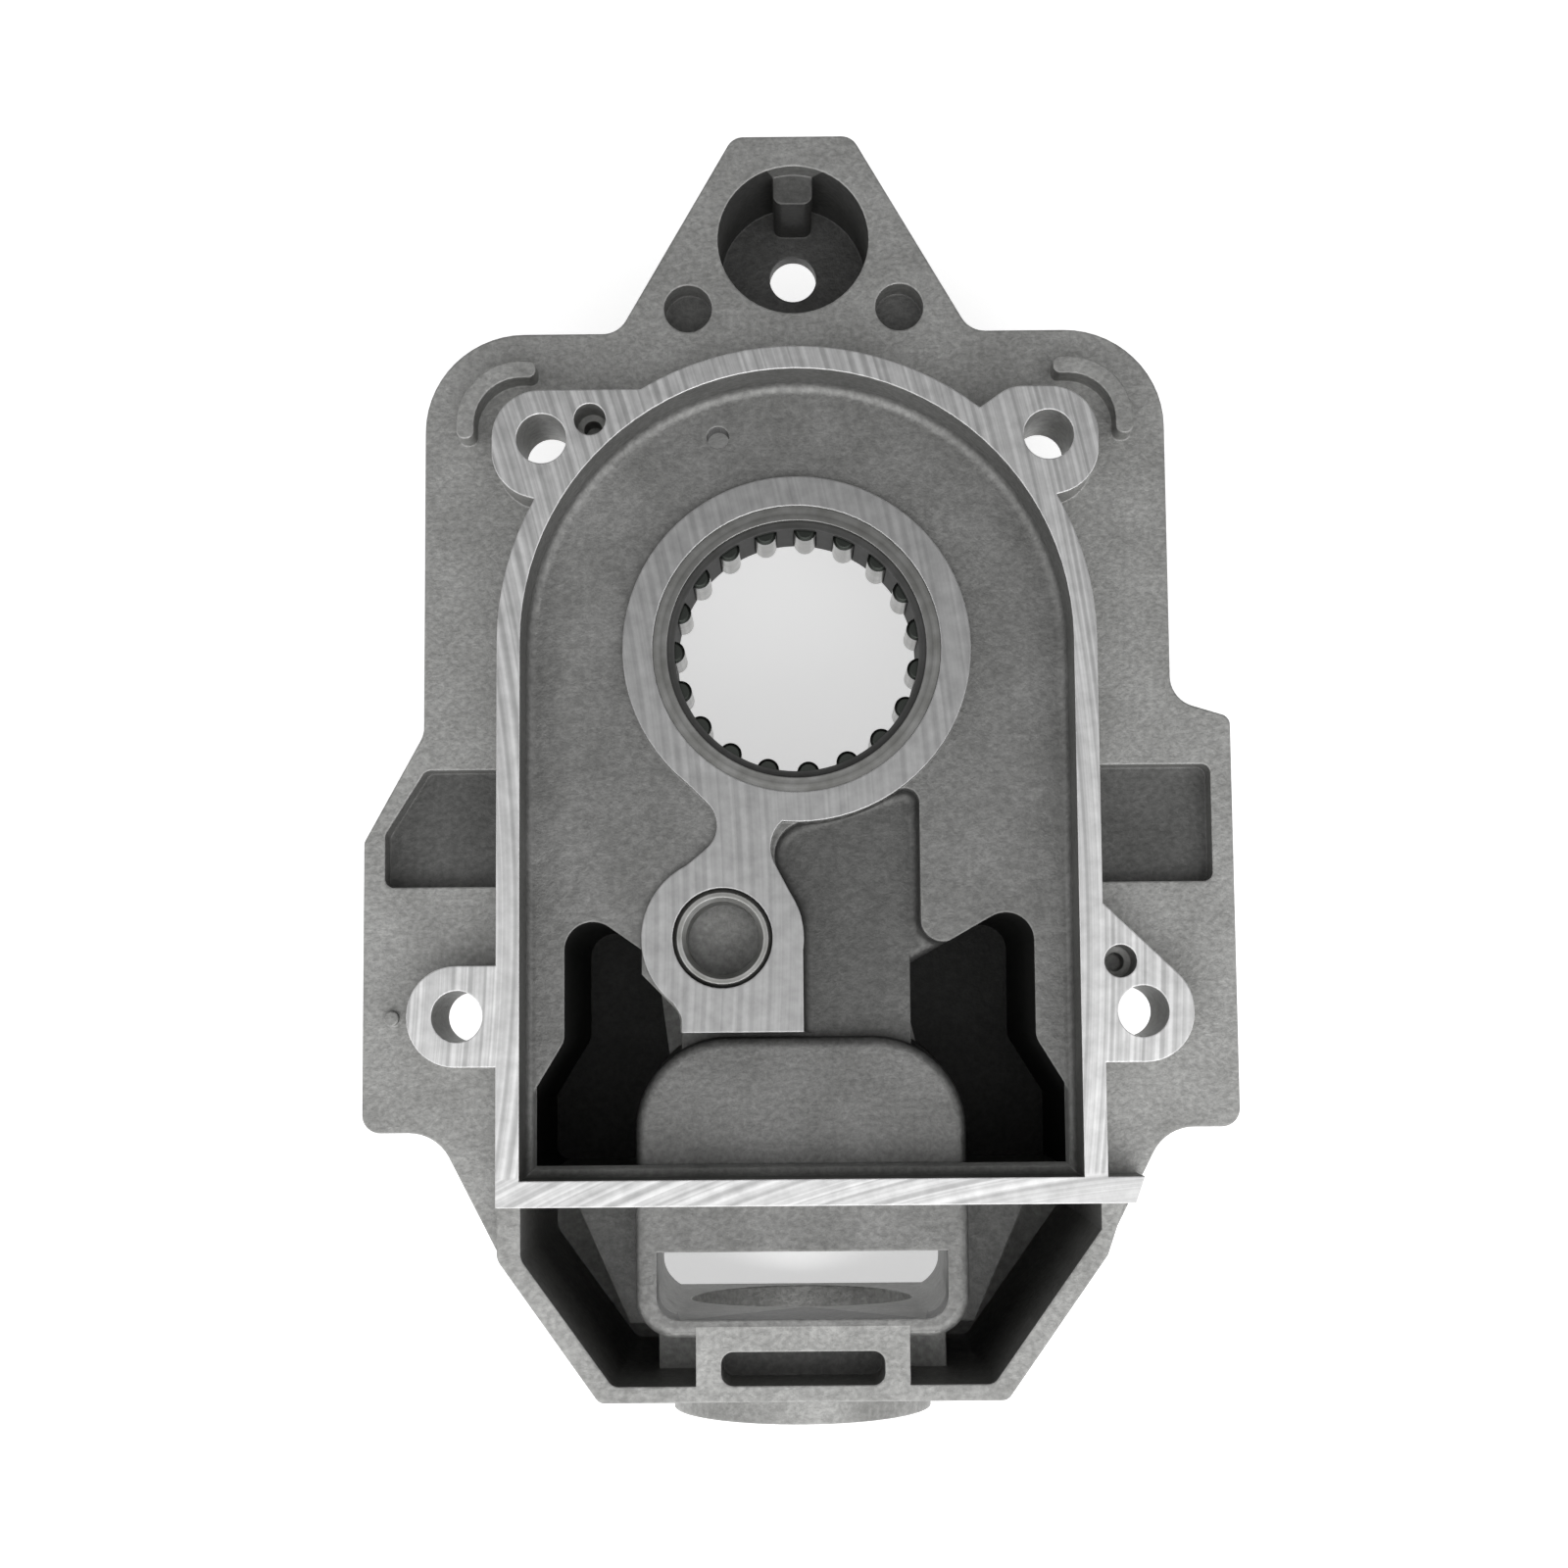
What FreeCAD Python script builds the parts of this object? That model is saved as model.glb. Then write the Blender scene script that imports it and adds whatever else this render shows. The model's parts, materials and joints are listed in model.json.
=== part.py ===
import FreeCAD, Part
import math
import os
import Sketcher

# Gear and crank housing of a power tool: one aluminium die casting with a drawn-cup needle
# bearing and a plain bush. Origin: axis of the crank bearing, at the machined boss face.
# +Z points out of the open gear side, +Y towards the mounting lobe, -Y towards the cylinder.

# Driving dimensions, in millimetres and degrees.
DIMENSIONS = {
    # heights, measured from the machined boss face
    "joint_height": 6.0,
    "frame_height": 4.5,
    "rib_height": 3.5,
    "floor_drop": 1.0,
    "floor_thickness": 3.0,
    "dome_drop": 2.0,
    "recess_drop": 5.0,
    "plate_thickness": 6.0,
    "foot_drop": 8.0,
    "casting_depth": 40.0,
    "pocket_floor": 3.0,
    "roof_thickness": 3.0,
    "draft_angle": 1.8,
    # gear chamber and its rim
    "chamber_radius": 30.0,
    "rim_wall": 2.5,
    "chamber_end": 57.8,
    "bar_width": 2.8,
    "bar_overhang": 2.9,
    "chamber_corner": 1.6,
    "chamber_fillet": 1.2,
    # wing plate
    "upper_wing": 41.2,
    "shoulder_height": 35.7,
    "shoulder_round": 11.0,
    "lobe_height": 58.3,
    "lobe_tip_half": 6.7,
    "lobe_foot_half": 19.7,
    "lobe_foot_round": 3.0,
    "lower_wing": 47.7,
    "right_step": 6.1,
    "right_step_rise": 2.0,
    "left_step": 9.3,
    "left_step_rise": 11.9,
    "wing_end": 52.9,
    "wing_heel": 39.6,
    "wing_toe": 32.6,
    "wing_toe_depth": 66.4,
    "wing_round": 2.0,
    # wing pockets, corner ribs and casting nub
    "wing_pocket_top": 13.3,
    "wing_pocket_bottom": 26.2,
    "wing_pocket_side": 45.4,
    "wing_pocket_slant": 4.4,
    "wing_pocket_depth": 3.5,
    "wing_pocket_round": 1.0,
    "rib_setback": 3.9,
    "rib_width": 1.9,
    "rib_tail": 1.6,
    "rib_end_round": 0.8,
    "nub_x": 44.5,
    "nub_y": 40.5,
    "nub_radius": 0.8,
    "nub_height": 0.8,
    # screw ears and dowel holes
    "upper_screw_x": 27.7,
    "upper_screw_y": 22.4,
    "lower_screw_x": 36.65,
    "lower_screw_y": 40.35,
    "screw_hole": 5.5,
    "ear_radius": 5.4,
    "ear_round": 5.2,
    "ear_slant": 11.0,
    "dowel_hole": 3.5,
    "dowel_depth": 5.0,
    "dowel_relief": 2.0,
    "dowel_relief_depth": 3.0,
    "upper_dowel_x": 22.4,
    "upper_dowel_y": 24.5,
    "lower_dowel_x": 34.3,
    "lower_dowel_y": 35.0,
    # mounting lobe
    "lobe_pocket_y": 46.4,
    "lobe_pocket": 17.0,
    "lobe_pocket_depth": 15.0,
    "lobe_cup_wall": 2.5,
    "lobe_cup_floor": 2.6,
    "lobe_hole": 5.5,
    "lug_width": 4.4,
    "lug_reach": 3.4,
    "lug_drop": 3.0,
    "core_hole_x": 11.85,
    "core_hole_y": 38.5,
    "core_hole": 5.4,
    "core_hole_depth": 4.0,
    # crank bearing boss, neck and bush boss
    "crank_chamber": 59.0,
    "boss_wall": 3.3,
    "bearing_seat_end": 13.0,
    "neck_corner_x": 7.3,
    "neck_corner_y": 19.85,
    "neck_reach": 5.9,
    "neck_round": 3.4,
    "bush_x": 8.4,
    "bush_y": 32.0,
    "bush_boss": 17.8,
    "bush_seat_end": 13.0,
    "boss_foot_x": 12.9,
    "boss_foot_y": 40.5,
    "boss_foot_round": 1.5,
    "boss_end": 42.3,
    "vent_x": 8.6,
    "vent_y": 24.0,
    "vent_hole": 2.5,
    # recess beside the bush boss
    "recess_left": 0.4,
    "recess_waist": 29.7,
    "recess_waist_round": 6.0,
    "recess_corner_x": 4.3,
    "recess_corner_y": 20.7,
    "recess_corner_round": 3.8,
    "recess_right": 13.4,
    "recess_top": 15.0,
    "recess_top_round": 1.6,
    "recess_fillet": 1.2,
    "peninsula_round": 2.4,
    # deep side pockets
    "pocket_outer": 25.8,
    "pocket_peak": 27.2,
    "pocket_peak_round": 3.1,
    "left_pocket_inner": 13.1,
    "right_pocket_inner": 12.3,
    "pocket_waist": 43.1,
    "pocket_flare": 50.0,
    "pocket_shoulder": 34.2,
    "pocket_round": 2.3,
    # cylinder dome, barrel box and their cavity
    "dome_half": 18.1,
    "dome_top": 42.9,
    "dome_round": 10.0,
    "dome_fillet": 1.2,
    "box_half": 17.75,
    "box_end": 74.5,
    "box_round": 4.3,
    "cavity_wall": 2.2,
    "rod_passage_half": 10.5,
    "window_half": 15.5,
    "window_top": 65.5,
    "window_bottom": 72.6,
    "window_round": 2.5,
    # lower frame
    "frame_end": 81.2,
    "frame_end_half": 21.6,
    "frame_waist": 66.1,
    "frame_wall": 2.5,
    "frame_foot_wall": 1.7,
    "frame_right_bulge": 1.9,
    "neck_half": 11.35,
    "slot_half": 8.7,
    "slot_top": 75.95,
    "slot_depth": 8.0,
    "slot_round": 1.3,
    "gusset_drop": 9.0,
    "gusset_root": 25.6,
    "gusset_tip": 19.2,
    # cylinder port
    "cylinder_depth": 24.5,
    "cylinder_bore": 26.0,
    "spigot_diameter": 30.0,
    "spigot_length": 4.6,
    "port_block_wall": 1.0,
    # needle bearing
    "bearing_outside": 32.0,
    "bearing_length": 12.0,
    "bearing_inset": 0.3,
    "cup_wall": 1.0,
    "cup_lip": 0.8,
    "cup_lip_reach": 0.6,
    "needle_diameter": 2.5,
    "needle_length": 8.4,
    "needle_chamfer": 0.3,
    "needle_clearance": 0.03,
    "needle_count": 19,
    "needle_phase": 4.5,
    "cage_thickness": 1.1,
    "cage_gap": 0.3,
    "cage_end_play": 0.1,
    # bush
    "bush_outside": 11.0,
    "bush_bore": 8.0,
    "bush_length": 8.0,
    "bush_inset": 0.3,
    "bush_chamfer": 0.5,
    "bush_relief": 2.0,
    "bush_relief_step": 1.0,
}


class Size:
    """A number together with the sheet expression that gives it."""

    def __init__(self, value, text):
        self.value = value
        self.text = text

    def __neg__(self):
        return Size(-self.value, f"-({self.text})")

    def __add__(self, other):
        other = as_size(other)
        return Size(self.value + other.value, f"({self.text} + {other.text})")

    def __sub__(self, other):
        other = as_size(other)
        return Size(self.value - other.value, f"({self.text} - {other.text})")

    def __mul__(self, other):
        other = as_size(other)
        return Size(self.value * other.value, f"({self.text} * {other.text})")

    def __truediv__(self, other):
        other = as_size(other)
        return Size(self.value / other.value, f"({self.text} / {other.text})")


def as_size(number):
    if isinstance(number, Size):
        return number
    return Size(float(number), repr(float(number)))


document = FreeCAD.newDocument("GearboxHousing")
sheet = document.addObject("Spreadsheet::Sheet", "Sizes")


class Named:
    """The sheet's cells, each read by its own name."""


d = Named()
for row, (alias, number) in enumerate(DIMENSIONS.items(), start=1):
    sheet.set(f"A{row}", alias.replace("_", " "))
    sheet.set(f"B{row}", str(number))
    sheet.setAlias(f"B{row}", alias)
    setattr(d, alias, Size(float(number), f"Sizes.{alias}"))
document.recompute()

ZERO = as_size(0)


# ---------------------------------------------------------------- sketch helpers

def new_body(label):
    body = document.addObject("PartDesign::Body", label)
    body.Label = label
    return body


def new_sketch(body, name, role, offset):
    """Sketch on one of the body's origin planes, moved along its normal by offset."""
    sketch = body.newObject("Sketcher::SketchObject", name + "Sketch")
    plane = next(item for item in body.Origin.OriginFeatures if item.Role == role)
    sketch.AttachmentSupport = (plane, "")
    sketch.MapMode = "FlatFace"
    sketch.setExpression("AttachmentOffset.Base.z", as_size(offset).text)
    return sketch


def bind(sketch, constraints):
    """Add (constraint, size) pairs; a size of None is a purely geometric constraint."""
    first = sketch.ConstraintCount
    sketch.addConstraint([constraint for constraint, size in constraints])
    for index, (constraint, size) in enumerate(constraints, start=first):
        if size is not None:
            sketch.setExpression(f"Constraints[{index}]", size.text)


def locate(index, vertex, x, y):
    """Constraints that hold a vertex at (x, y) from the sketch's origin."""
    return [
        (Sketcher.Constraint("DistanceX", -1, 1, index, vertex, x.value), x),
        (Sketcher.Constraint("DistanceY", -1, 1, index, vertex, y.value), y),
    ]


def add_circle(sketch, x, y, radius):
    x, y, radius = as_size(x), as_size(y), as_size(radius)
    centre = FreeCAD.Vector(x.value, y.value, 0)
    index = sketch.addGeometry(Part.Circle(centre, FreeCAD.Vector(0, 0, 1), radius.value))
    held = locate(index, 3, x, y)
    held.append((Sketcher.Constraint("Radius", index, radius.value), radius))
    bind(sketch, held)


def add_arch(sketch, radius, end):
    """U outline: half circle about the origin with straight sides down to y = -end."""
    width, low = radius.value, -end.value
    corners = [(width, 0), (-width, 0), (-width, low), (width, low)]
    points = [FreeCAD.Vector(x, y, 0) for x, y in corners]
    circle = Part.Circle(FreeCAD.Vector(0, 0, 0), FreeCAD.Vector(0, 0, 1), width)
    arc = sketch.addGeometry(Part.ArcOfCircle(circle, 0, math.pi))
    left = sketch.addGeometry(Part.LineSegment(points[1], points[2]))
    foot = sketch.addGeometry(Part.LineSegment(points[2], points[3]))
    right = sketch.addGeometry(Part.LineSegment(points[3], points[0]))
    bind(sketch, [
        (Sketcher.Constraint("Coincident", arc, 3, -1, 1), None),
        (Sketcher.Constraint("Radius", arc, width), radius),
        (Sketcher.Constraint("Tangent", arc, 2, left, 1), None),
        (Sketcher.Constraint("Tangent", arc, 1, right, 2), None),
        (Sketcher.Constraint("Coincident", left, 2, foot, 1), None),
        (Sketcher.Constraint("Coincident", foot, 2, right, 1), None),
        (Sketcher.Constraint("Vertical", left), None),
        (Sketcher.Constraint("Vertical", right), None),
        (Sketcher.Constraint("Horizontal", foot), None),
        (Sketcher.Constraint("DistanceY", foot, 1, -1, 1, end.value), end),
    ])


def corner_points(before, corner, after, radius):
    """Where a rounded corner leaves its two sides, its centre and its turn to the left."""
    way_in = (corner - before).normalize()
    way_out = (after - corner).normalize()
    turn = math.atan2(way_in.x * way_out.y - way_in.y * way_out.x, way_in.dot(way_out))
    setback = radius * math.tan(abs(turn) / 2)
    start = corner - way_in * setback
    side = math.copysign(1, turn)
    centre = start + FreeCAD.Vector(-way_in.y * side, way_in.x * side, 0) * radius
    return start, corner + way_out * setback, centre, turn > 0


def add_outline(sketch, corners):
    """Closed outline of straight sides through (x, y) or (x, y, radius) corners."""
    corners = [tuple(as_size(item) for item in corner) for corner in corners]
    points = [FreeCAD.Vector(corner[0].value, corner[1].value, 0) for corner in corners]
    count = len(corners)
    rounds = {}
    for i, corner in enumerate(corners):
        if len(corner) == 3:
            after = points[(i + 1) % count]
            rounds[i] = corner_points(points[i - 1], points[i], after, corner[2].value)
    sides = []
    for i in range(count):
        j = (i + 1) % count
        start = rounds[i][1] if i in rounds else points[i]
        end = rounds[j][0] if j in rounds else points[j]
        sides.append(sketch.addGeometry(Part.LineSegment(start, end)))
    held = []
    for i, corner in enumerate(corners):
        before, after = sides[i - 1], sides[i]
        if i not in rounds:
            held.append((Sketcher.Constraint("Coincident", before, 2, after, 1), None))
            held += locate(after, 1, corner[0], corner[1])
            continue
        start, end, centre, left = rounds[i]
        first, last = (start, end) if left else (end, start)
        circle = Part.Circle(centre, FreeCAD.Vector(0, 0, 1), corner[2].value)
        arc = sketch.addGeometry(Part.ArcOfCircle(
            circle, circle.parameter(first), circle.parameter(last)))
        mark = sketch.addGeometry(Part.Point(points[i]), True)
        near, far = (1, 2) if left else (2, 1)
        held += locate(mark, 1, corner[0], corner[1])
        held += [
            (Sketcher.Constraint("PointOnObject", mark, 1, before), None),
            (Sketcher.Constraint("PointOnObject", mark, 1, after), None),
            (Sketcher.Constraint("Tangent", before, 2, arc, near), None),
            (Sketcher.Constraint("Tangent", arc, far, after, 1), None),
            (Sketcher.Constraint("Radius", arc, corner[2].value), corner[2]),
        ]
    bind(sketch, held)


def draw(sketch, shape):
    """Draw a list of corners, or a tuple (adder, sizes...) such as a circle or an arch."""
    if isinstance(shape, tuple):
        shape[0](sketch, *shape[1:])
    else:
        add_outline(sketch, shape)


def pad(body, name, shapes, low, high, draft=None):
    """Material between two heights; with a draft it widens downwards from high."""
    top = as_size(high)
    sketch = new_sketch(body, name, "XY_Plane", top)
    for shape in shapes:
        draw(sketch, shape)
    feature = body.newObject("PartDesign::Pad", name)
    feature.Profile = sketch
    feature.Reversed = True
    feature.setExpression("Length", (top - low).text)
    if draft is not None:
        feature.setExpression("TaperAngle", draft.text)
    return feature


def pocket(body, name, shapes, high, low, draft=None):
    """A cut from one height down to another; with a draft it widens downwards."""
    top = as_size(high)
    sketch = new_sketch(body, name, "XY_Plane", top)
    for shape in shapes:
        draw(sketch, shape)
    feature = body.newObject("PartDesign::Pocket", name)
    feature.Profile = sketch
    feature.setExpression("Length", (top - low).text)
    if draft is not None:
        feature.setExpression("TaperAngle", draft.text)
    return feature


def revolve(body, name, profile):
    """A turned piece: profile corners are (radius, height) pairs, spun about the Z axis."""
    sketch = new_sketch(body, name, "XZ_Plane", ZERO)
    add_outline(sketch, profile)
    feature = body.newObject("PartDesign::Revolution", name)
    feature.Profile = sketch
    feature.ReferenceAxis = (sketch, ["V_Axis"])
    feature.Angle = 360
    return feature


def fillet(body, name, radius, chosen):
    """Round the edges of the body's last feature for which chosen(edge) is true."""
    document.recompute()
    base = body.Tip
    edges = [f"Edge{i}" for i, edge in enumerate(base.Shape.Edges, start=1) if chosen(edge)]
    feature = body.newObject("PartDesign::Fillet", name)
    feature.Base = (base, edges)
    feature.setExpression("Radius", radius.text)
    return feature


def level_edge(edge, height):
    """True for an edge that lies flat at a height."""
    box = edge.BoundBox
    return abs(box.ZMin - height.value) < 0.001 and abs(box.ZMax - height.value) < 0.001


# ---------------------------------------------------------------- housing

back = -d.casting_depth
floor_top = -d.floor_drop
floor_under = floor_top - d.floor_thickness
plate_under = -d.plate_thickness
pocket_bottom = back + d.pocket_floor
rim_radius = d.chamber_radius + d.rim_wall
bar_end = d.chamber_end + d.bar_width


def wing_outline():
    """Lobe, shoulders and both wings; the right wing steps out sooner than the left one."""
    tip = (d.lobe_tip_half, d.lobe_height, d.wing_round)
    lobe_foot = (d.lobe_foot_half, d.shoulder_height, d.lobe_foot_round)
    shoulder = (d.upper_wing, d.shoulder_height, d.shoulder_round)
    end_corner = (d.lower_wing, -d.wing_end, d.wing_round)
    heel = (d.wing_heel, -d.wing_end, d.wing_round * 2.5)
    toe = (d.wing_toe, -d.wing_toe_depth)
    right = [
        tip, lobe_foot, shoulder,
        (d.upper_wing, -d.right_step, d.wing_round * 1.7),
        (d.lower_wing, -(d.right_step + d.right_step_rise), d.wing_round * 0.6),
        end_corner, heel, toe,
    ]
    left = [
        tip, lobe_foot, shoulder,
        (d.upper_wing, -d.left_step, d.wing_round * 1.5),
        (d.lower_wing, -(d.left_step + d.left_step_rise), d.wing_round * 0.6),
        end_corner, heel, toe,
    ]
    return [(-corner[0],) + corner[1:] for corner in left] + right[::-1]


def upper_ear(side):
    """Ear corners about an upper screw; the left one runs on along its dowel hole."""
    top = d.upper_screw_y + d.ear_radius
    outer = d.upper_screw_x + d.ear_radius
    inner = [(14.0, top)] if side < 0 else [(19.0, 24.6), (23.6, top, 4.0)]
    corners = [(x * side, y, *r) for x, y, *r in [(as_size(p[0]), *p[1:]) for p in inner]]
    corners.append((outer * side, top, d.ear_round))
    corners.append((outer * side, d.upper_screw_y - d.ear_radius, d.ear_round))
    corners.append((as_size(22.0) * side, as_size(14.0)))
    return corners


def lower_ear(side):
    """Ear corners about a lower screw; the right one slants up to cover its dowel hole."""
    root = d.chamber_radius + 1
    outer = d.lower_screw_x + d.ear_radius
    low = -(d.lower_screw_y + d.ear_radius)
    high = -(d.lower_screw_y - d.ear_radius)
    if side < 0:
        top = [(root * side, high), (outer * side, high, d.ear_round)]
    else:
        top = [(root, -(d.lower_screw_y - d.ear_slant - 2)), (outer, high - 3, d.ear_round)]
    return top + [(outer * side, low, d.ear_round), (root * side, low)]


def corner_rib(side):
    """Quarter-round rib standing inside a shoulder corner."""
    outer_x = d.upper_wing - d.rib_setback
    outer_y = d.shoulder_height - d.rib_setback
    bend = d.shoulder_round - d.rib_setback
    end_x = d.upper_wing - d.shoulder_round - d.rib_tail
    end_y = d.shoulder_height - d.shoulder_round - d.rib_tail
    tip = d.rib_end_round
    return [
        (end_x * side, outer_y, tip),
        (outer_x * side, outer_y, bend),
        (outer_x * side, end_y, tip),
        ((outer_x - d.rib_width) * side, end_y, tip),
        ((outer_x - d.rib_width) * side, outer_y - d.rib_width, bend - d.rib_width),
        (end_x * side, outer_y - d.rib_width, tip),
    ]


def wing_pocket(side):
    """Shallow pocket between the rim wall and the wing's edge."""
    r = d.wing_pocket_round
    outer = d.wing_pocket_side
    corners = [(rim_radius * side, -d.wing_pocket_top)]
    if side < 0:
        corners.append((-(outer - d.wing_pocket_slant), -d.wing_pocket_top, r))
        corners.append((-outer, -(d.wing_pocket_top + d.wing_pocket_slant * 1.6), r))
    else:
        corners.append((outer, -d.wing_pocket_top, r))
    corners.append((outer * side, -d.wing_pocket_bottom, r))
    corners.append((rim_radius * side, -d.wing_pocket_bottom))
    return corners


def recess_wall(edge):
    """True for a bottom edge of the recess that has a wall beside it."""
    centre = edge.CenterOfMass
    beside_boss = centre.x < d.recess_left.value + 1
    above_pocket = centre.y > -d.pocket_shoulder.value
    return level_edge(edge, -d.recess_drop) and (beside_boss or above_pocket)


def dome_rim(edge):
    """True for an edge round the dome's roof, leaving out where it meets the bar."""
    ahead_of_bar = edge.CenterOfMass.y > -(d.chamber_end.value - 0.01)
    return level_edge(edge, -d.dome_drop) and ahead_of_bar


def box_rim(edge):
    """True for an edge round the barrel box's roof, leaving out where it meets the bar."""
    centre = edge.CenterOfMass
    beside = abs(centre.x) < d.box_half.value + 0.01
    below_bar = -(d.box_end.value + 0.01) < centre.y < -(bar_end.value + 0.01)
    return level_edge(edge, d.frame_height) and beside and below_bar


def build_housing():
    body = new_body("gearbox_housing")
    screws = [
        (add_circle, x, y, d.screw_hole / 2)
        for x, y in (
            (-d.upper_screw_x, d.upper_screw_y),
            (d.upper_screw_x, d.upper_screw_y),
            (-d.lower_screw_x, -d.lower_screw_y),
            (d.lower_screw_x, -d.lower_screw_y),
        )
    ]

    # outer forms
    pad(body, "WingPlate", [wing_outline()], plate_under, ZERO)
    pad(body, "UpperEars", [upper_ear(-1), upper_ear(1)], plate_under, d.joint_height)
    pad(body, "LowerEars", [lower_ear(-1), lower_ear(1)], -d.foot_drop, d.joint_height)
    pad(body, "RimWall", [(add_arch, rim_radius, bar_end)], back, d.joint_height)
    frame_outer = [
        (-rim_radius, -d.chamber_end),
        (-rim_radius, -d.frame_waist, d.wing_round),
        (-d.frame_end_half, -d.frame_end, d.wing_round * 0.6),
        (d.frame_end_half, -d.frame_end, d.wing_round * 0.6),
        (rim_radius, -d.frame_waist, d.wing_round),
        (rim_radius + d.frame_right_bulge, -bar_end),
        (rim_radius + d.frame_right_bulge, -d.chamber_end),
    ]
    pad(body, "FrameWall", [frame_outer], back, d.frame_height)
    bar_tip = [
        (d.chamber_radius, -d.chamber_end),
        (rim_radius + d.bar_overhang + 1, -d.chamber_end),
        (rim_radius + d.bar_overhang, -bar_end),
        (d.chamber_radius, -bar_end),
    ]
    pad(body, "BarTip", [bar_tip], plate_under, d.joint_height)
    cup_radius = d.lobe_pocket / 2 + d.lobe_cup_wall
    cup_bottom = -(d.lobe_pocket_depth + d.lobe_cup_floor)
    pad(body, "LobeCup", [(add_circle, 0, d.lobe_pocket_y, cup_radius)], cup_bottom, ZERO)
    pad(body, "CornerRibs", [corner_rib(-1), corner_rib(1)], ZERO, d.rib_height)
    nub = (add_circle, -d.nub_x, -d.nub_y, d.nub_radius)
    pad(body, "CastingNub", [nub], ZERO, d.nub_height)

    # chamber and deep pockets
    chamber = (add_arch, d.chamber_radius, d.chamber_end)
    pocket(body, "Chamber", [chamber], d.joint_height, floor_top)
    fillet(body, "ChamberFillet", d.chamber_fillet, lambda edge: level_edge(edge, floor_top))
    left_pocket = [
        (-d.pocket_outer, -d.pocket_peak, d.pocket_peak_round),
        (-(d.bush_x + d.bush_boss / 2), -(d.pocket_shoulder - 1)),
        (-(d.bush_x + d.bush_boss / 2), -(d.bush_y + 3.9)),
        (-d.left_pocket_inner, -(d.bush_y + 8.2), d.pocket_round),
        (-d.left_pocket_inner, -d.chamber_end),
        (-d.chamber_radius, -d.chamber_end, d.chamber_corner),
        (-d.chamber_radius, -d.pocket_flare),
        (-d.pocket_outer, -d.pocket_waist, d.pocket_round),
    ]
    right_pocket = [
        (d.pocket_outer, -d.pocket_peak, d.pocket_peak_round),
        (d.pocket_outer, -d.pocket_waist, d.pocket_round),
        (d.chamber_radius, -d.pocket_flare),
        (d.chamber_radius, -d.chamber_end),
        (d.right_pocket_inner, -d.chamber_end),
        (d.right_pocket_inner, -(d.pocket_shoulder + 0.6)),
    ]
    pocket(body, "DeepPockets", [left_pocket, right_pocket], floor_top, pocket_bottom)
    frame_inner = [
        (-d.chamber_radius, -bar_end),
        (-d.chamber_radius, -d.frame_waist, d.wing_round),
        (-(d.frame_end_half - 1.4), -(d.frame_end - d.frame_foot_wall), d.slot_round),
        (d.frame_end_half - 1.4, -(d.frame_end - d.frame_foot_wall), d.slot_round),
        (d.chamber_radius + d.frame_right_bulge, -(d.frame_waist - 2.7)),
        (d.chamber_radius + d.frame_right_bulge, -bar_end),
    ]
    pocket(body, "FramePocket", [frame_inner], d.frame_height, pocket_bottom)

    # crank chamber behind the floor, and the recess in front of it
    crank_chamber = (add_circle, 0, 0, d.crank_chamber / 2)
    pocket(body, "CrankChamber", [crank_chamber], floor_under, back)
    recess_under = -(d.recess_drop + d.roof_thickness)
    recess_floor = [
        (-d.recess_corner_x, -d.bearing_seat_end),
        (-d.recess_corner_x, -d.pocket_shoulder),
        (d.recess_right + d.rim_wall, -(d.pocket_shoulder - 2)),
        (d.recess_right + d.rim_wall, -d.bearing_seat_end),
    ]
    pad(body, "RecessFloor", [recess_floor], recess_under, floor_under)
    under_dome = -(d.dome_top + d.cavity_wall)
    recess = [
        (-d.recess_corner_x, -d.recess_corner_y, d.recess_corner_round),
        (d.recess_left, -d.recess_waist, d.recess_waist_round),
        (d.recess_left, under_dome),
        (d.right_pocket_inner + 1, under_dome),
        (d.recess_right + 3, -(d.pocket_shoulder + 0.6)),
        (d.recess_right + 3, -(d.pocket_shoulder - 1.65)),
        (d.recess_right, -d.pocket_shoulder, d.peninsula_round),
        (d.recess_right, -d.recess_top, d.recess_top_round),
    ]
    pocket(body, "Recess", [recess], floor_top, -d.recess_drop)
    fillet(body, "RecessFillet", d.recess_fillet, lambda edge: recess_wall(edge))
    groove = [
        (-(d.left_pocket_inner + 1), -d.boss_end),
        (-(d.left_pocket_inner + 1), under_dome),
        (d.recess_left + 1, under_dome),
        (d.recess_left + 1, -d.boss_end),
    ]
    pocket(body, "FootGroove", [groove], floor_top, -d.recess_drop)

    # cylinder dome, barrel box, its neck and the gussets beside it
    dome_side = -(d.chamber_end + 0.5)
    dome = [
        (-d.dome_half, -d.dome_top, d.dome_round),
        (-d.dome_half, dome_side),
        (d.dome_half, dome_side),
        (d.dome_half, -d.dome_top, d.dome_round),
    ]
    pocket(body, "DomeClearance", [dome], floor_top, -d.dome_drop)
    pad(body, "Dome", [dome], back, -d.dome_drop, d.draft_angle)
    fillet(body, "DomeFillet", d.dome_fillet, lambda edge: dome_rim(edge))
    box_top = -(bar_end - 0.5)
    box = [
        (-d.box_half, box_top),
        (-d.box_half, -d.box_end, d.box_round),
        (d.box_half, -d.box_end, d.box_round),
        (d.box_half, box_top),
    ]
    pad(body, "BarrelBox", [box], back, d.frame_height, d.draft_angle)
    fillet(body, "BoxFillet", d.dome_fillet, lambda edge: box_rim(edge))
    neck_end = -(d.frame_end - 0.5)
    frame_neck = [
        (-d.neck_half, -(d.box_end - 2)),
        (-d.neck_half, neck_end),
        (d.neck_half, neck_end),
        (d.neck_half, -(d.box_end - 2)),
    ]
    pad(body, "FrameNeck", [frame_neck], back, d.frame_height)
    gussets = []
    for side in (-1, 1):
        gussets.append([
            ((d.box_half - 1) * side, box_top),
            (d.gusset_root * side, box_top),
            (d.gusset_tip * side, -d.box_end),
            ((d.box_half - 1) * side, -d.box_end),
        ])
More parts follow.
